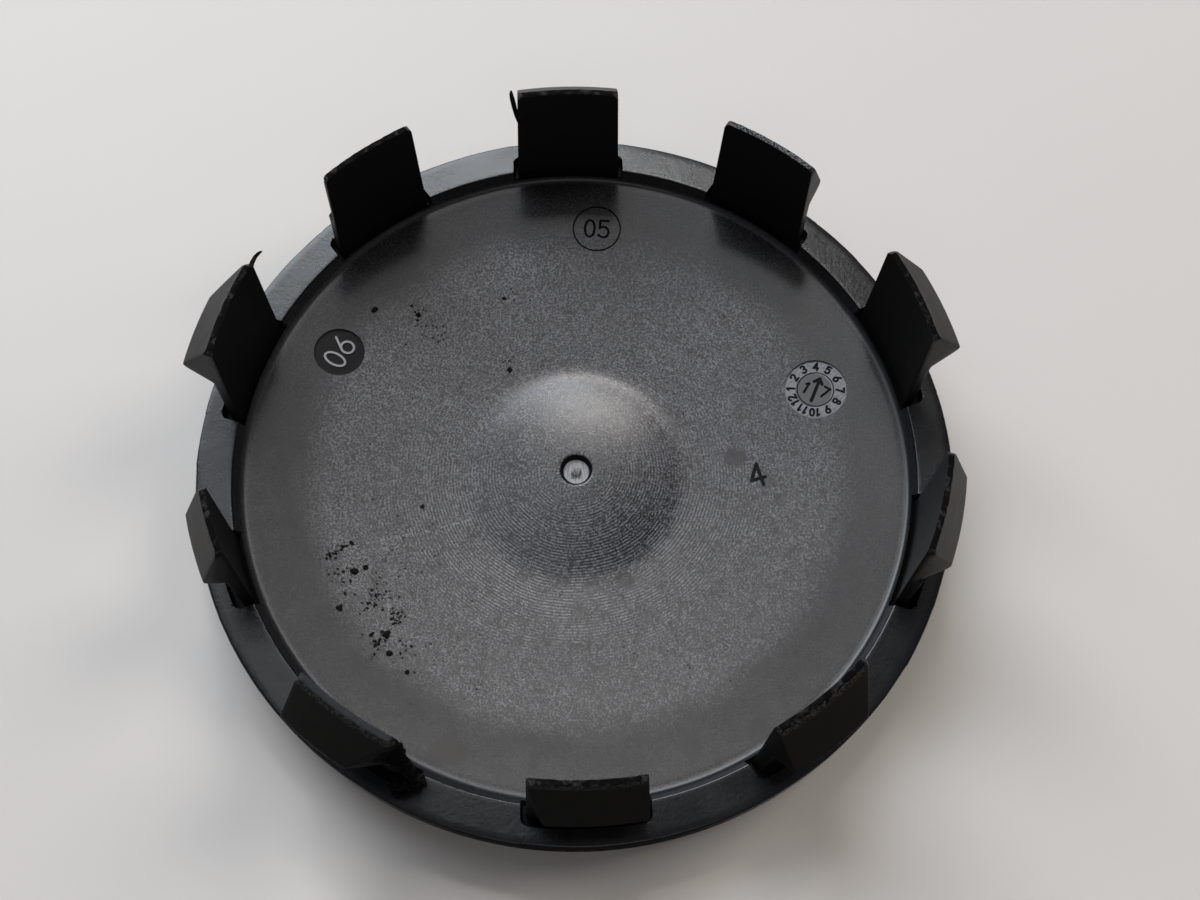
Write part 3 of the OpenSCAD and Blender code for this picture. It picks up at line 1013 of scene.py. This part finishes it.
clipRing = growClips()
print("clips grown:", len(clipRing.data.vertices), "points")
flash = [addSliver(name, *sliver) for name, sliver in slivers.items()]
bodySteps = [("UNION", tool) for tool in (clipRing, *flash)]
bodySteps += [("DIFFERENCE", tool) for tool in floorCutters()]
capBody = combine("capBody", capBody, bodySteps + [("UNION", sunkFigure())])
sharpenOver(capBody.data, 38)
finishByPlace(capBody.data)
print("body shaped:", len(capBody.data.vertices), "points")


# specks of dirt on the floor and a clump of grime at the foot of a clip

speckSizes = {"Grain": 0.115, "Flatness": 0.45, "Lumps": 0.055, "Seed": 7, "Finish": finishes["dirt"]}
speckGroups = [
    # place, reach, how many, size against the grain
    ((-18.2, -6.4), 0.8, 26, 0.8), ((-17.3, -5.9), 0.5, 8, 0.9), ((-17.4, -10.6), 0.28, 8, 1.2),
    ((-14.6, -9.6), 1.9, 60, 0.75), ((-13.3, -11.2), 0.9, 26, 0.8), ((-14.3, -12.9), 0.8, 16, 0.9),
    ((-15.2, -13.4), 1.3, 16, 0.8), ((-12.6, -13.6), 0.9, 10, 0.8), ((-17.0, -8.4), 1.6, 24, 0.75),
    ((-12.2, 13.4), 0.8, 10, 0.9), ((-11.0, 12.0), 2.4, 26, 0.75), ((-4.5, 14.6), 1.0, 8, 0.7),
    ((-5.0, 9.4), 0.5, 4, 0.8), ((-9.0, -15.0), 5.0, 34, 0.65), ((-12.0, -6.0), 5.0, 34, 0.65),
    ((6.0, -14.0), 6.0, 26, 0.6), ((9.0, 9.0), 7.0, 22, 0.55),
    # the bigger ones
    ((-13.97, -12.54), 0.22, 5, 1.9), ((-16.43, -7.74), 0.1, 2, 2.0), ((-15.65, -7.5), 0.05, 1, 1.8),
    ((-12.4, -15.37), 0.12, 3, 1.6), ((-13.71, -13.96), 0.14, 3, 1.6), ((-16.66, -5.56), 0.05, 1, 1.7),
    ((-15.49, 13.58), 0.05, 1, 1.9), ((-12.14, 13.23), 0.22, 3, 1.6), ((-11.55, -2.6), 0.05, 1, 1.6),
    ((-5.37, 14.73), 0.05, 1, 1.5), ((-3.31, 14.54), 0.05, 1, 1.5), ((-4.96, 8.59), 0.08, 2, 1.5),
]


def speckTree():
    tree, start, end = newTree("dirtSpecks", speckSizes)
    seed = Term(tree, start.outputs["Seed"])
    groups = {"Geometry": start.outputs["Geometry"], "Amount": keptTerm(tree, "many", "INT")}
    many = addNode(tree, "GeometryNodeDuplicateElements", groups, domain="POINT").outputs["Geometry"]
    # spread round the middle of the group, closer together towards it, and set down on the floor
    dx, dy, _ = splitTerms(tree, randomTerm(tree, (-1, -1, -1), (1, 1, 1), seed))
    reach = keptTerm(tree, "reach") * randomTerm(tree, 0.3, 1.0, seed + 1)
    px, py, _ = splitTerms(tree, addNode(tree, "GeometryNodeInputPosition").outputs[0])
    x, y = px + dx * reach, py + dy * reach
    place = joinTerms(tree, x, y, domeZ - (dishR ** 2 - (x * x + y * y)).math("SQRT"))
    seat = addNode(tree, "GeometryNodeSetPosition", {"Geometry": many, "Position": place}).outputs[0]
    ball = addNode(tree, "GeometryNodeMeshIcoSphere", {"Radius": 1.0, "Subdivisions": 2}).outputs["Mesh"]
    width = Term(tree, start.outputs["Grain"]) * keptTerm(tree, "size")
    width = width * randomTerm(tree, 0.55, 1.2, seed + 2)
    long = width * randomTerm(tree, 0.7, 1.5, seed + 3)
    flat = width * Term(tree, start.outputs["Flatness"])
    turned = joinTerms(tree, 0.0, 0.0, randomTerm(tree, 0.0, 6.28, seed + 4))
    laid = {"Points": seat, "Instance": ball, "Scale": joinTerms(tree, width, long, flat), "Rotation": turned}
    lay = addNode(tree, "GeometryNodeInstanceOnPoints", laid).outputs[0]
    # points of their own, so that each speck is lumpy in its own way
    grown = addNode(tree, "GeometryNodeRealizeInstances", {0: lay}).outputs[0]
    small = roughen(tree, grown, start.outputs["Lumps"], Scale=7.0, Detail=2.0)
    return closeTree(tree, start, end, small)


def growDirt(name, seats, tree, sizes):
    dirt = growTree(name, seats, tree, sizes)
    turnOutwards(dirt.data)
    sharpenOver(dirt.data, 60)
    return dirt


def growSpecks():
    places, *columns = zip(*speckGroups)
    columns = dict(zip(("reach", "many", "size"), columns))
    seats = seatPoints("dirtSpecks", [(*place, 0) for place in places], columns)
    specks = growDirt("dirtSpecks", seats, speckTree(), speckSizes)
    dropAttributes(specks.data, columns)
    return specks


grimeSizes = {"Lump": 0.34, "Step": 0.09, "Roughness": 1.2, "Seed": 3, "Finish": finishes["dirt"]}


def grimeTree():
    tree, start, end = newTree("footGrime", grimeSizes)
    points = addNode(tree, "GeometryNodeMeshToPoints", {"Mesh": start.outputs["Geometry"]}).outputs[0]
    radius = Term(tree, start.outputs["Lump"]) * randomTerm(tree, 0.7, 1.3, start.outputs["Seed"])
    inputs = {"Points": points, "Voxel Size": start.outputs["Step"], "Radius": radius}
    clump = addNode(tree, "GeometryNodePointsToVolume", inputs, resolution_mode="VOXEL_SIZE").outputs[0]
    skin = addNode(tree, "GeometryNodeVolumeToMesh", {"Volume": clump}).outputs[0]
    small = roughen(tree, skin, start.outputs["Roughness"], Scale=2.6, Detail=5.0, Roughness=0.7)
    return closeTree(tree, start, end, small)


def growGrime():
    rng = np.random.default_rng(grime["seed"])
    lumps = []
    for start, end in zip(grime["path"], grime["path"][1:]):
        for part in grime["parts"]:
            scatter = rng.normal(0, grime["scatter"], 3)
            lumps.append(tuple(np.array(start) * (1 - part) + np.array(end) * part + scatter))
    seats = addObject("footGrime", newMesh("footGrime", lumps))
    return growDirt("footGrime", seats, grimeTree(), grimeSizes)


dirtSpecks = growSpecks()
footGrime = growGrime()
print("dirt laid:", len(dirtSpecks.data.vertices), "and", len(footGrime.data.vertices), "points")


# studio

studio = {
    "floor": (0.585, 0.55, 0.522), "mottle": (0.97, 1.03), "mottleSize": 60.0, "floorRough": 0.6,
    "frontEnds": (-22.0, -29.0), "frontShade": 0.93,
    "world": (0.9, 0.93, 1.0), "worldLevel": 0.14, "backdrop": (0.6, 0.58, 0.56),
    # name: place, aim, width and height in metres, watts, colour
    "lamps": {
        "windowLamp": ((-0.5, 0.8, 0.72), (-0.5, 0, 0), (1.1, 0.66), 17.0, (0.85, 0.925, 1.0)),
        "ceilingGlow": ((-0.187, 0.27, 0.75), (-0.187, 0.27, 0), (0.375, 0.09), 0.265, (0.95, 0.97, 1.0)),
        "lowGlow": ((-0.13, 0.13, 0.75), (-0.13, 0.13, 0), (0.3, 0.1), 0.15, (0.95, 0.97, 1.0)),
        "rightGlow": ((0.16, 0.268, 0.75), (0.16, 0.268, 0), (0.32, 0.095), 0.065, (1.0, 0.96, 0.93)),
        "warmLamp": ((0.045, 0.4, 0.7), (0.045, 0, 0), (0.15, 0.05), 0.58, (1.0, 0.95, 0.9)),
        "frontGlow": ((0.0, -0.5, 0.55), (0, 0, 0), (0.5, 0.12), 0.35, (1.0, 0.97, 0.94)),
        "roomLamp": ((0.75, 0.35, 0.7), (0, 0, 0), (0.5, 0.45), 4.5, (1.0, 0.93, 0.85)),
    },
}


def addLamp(name, place, aim, size, watts, colour):
    lamp = bpy.data.lights.new(name, "AREA")
    lamp.shape = "RECTANGLE"
    lamp.size, lamp.size_y = size
    lamp.energy = watts
    lamp.color = colour
    thing = bpy.data.objects.new(name, lamp)
    scene.collection.objects.link(thing)
    thing.location = place
    thing.rotation_euler = (Vector(aim) - Vector(place)).to_track_quat("-Z", "Y").to_euler()
    thing.visible_glossy = name != "roomLamp"


def addStudio():
    material, tree, spot, _, y, *_ = newFinish("paleFloor")
    tones = [tuple(part * factor for part in studio["floor"]) for factor in studio["mottle"]]
    colour = mixColour(tree, cloud(tree, spot, studio["mottleSize"], 3), *tones)
    # in front the cap mirrors a shaded floor
    mirrored = Term(tree, addNode(tree, "ShaderNodeLightPath").outputs["Is Glossy Ray"])
    front = y.between(*studio["frontEnds"]) * mirrored * studio["frontShade"]
    inputs = tree.nodes["Principled BSDF"].inputs
    plug(tree, inputs["Base Color"], mixColour(tree, front, colour, (0.0, 0.0, 0.0)))
    inputs["Roughness"].default_value = studio["floorRough"]
    mesh = newMesh("studioFloor", [(-4, -4, 0), (4, -4, 0), (4, 4, 0), (-4, 4, 0)], [(0, 1, 2, 3)])
    mesh.materials.append(material)
    addObject("studioFloor", mesh)
    world = bpy.data.worlds.new("studioWorld")
    world.use_nodes = True
    # only the camera sees the pale backdrop
    tree = world.node_tree
    backdrop = tree.nodes["Background"]
    seen = Term(tree, addNode(tree, "ShaderNodeLightPath").outputs["Is Camera Ray"])
    plug(tree, backdrop.inputs["Color"], mixColour(tree, seen, studio["world"], studio["backdrop"]))
    plug(tree, backdrop.inputs["Strength"], seen * (1 - studio["worldLevel"]) + studio["worldLevel"])
    scene.world = world
    for name, lamp in studio["lamps"].items():
        addLamp(name, *lamp)


addStudio()
scene.view_settings.view_transform = "Standard"
print("studio lit")

pieces = [capBody, dirtSpecks, footGrime]
for piece in pieces:
    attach(piece, "root")
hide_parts("clip_cap")
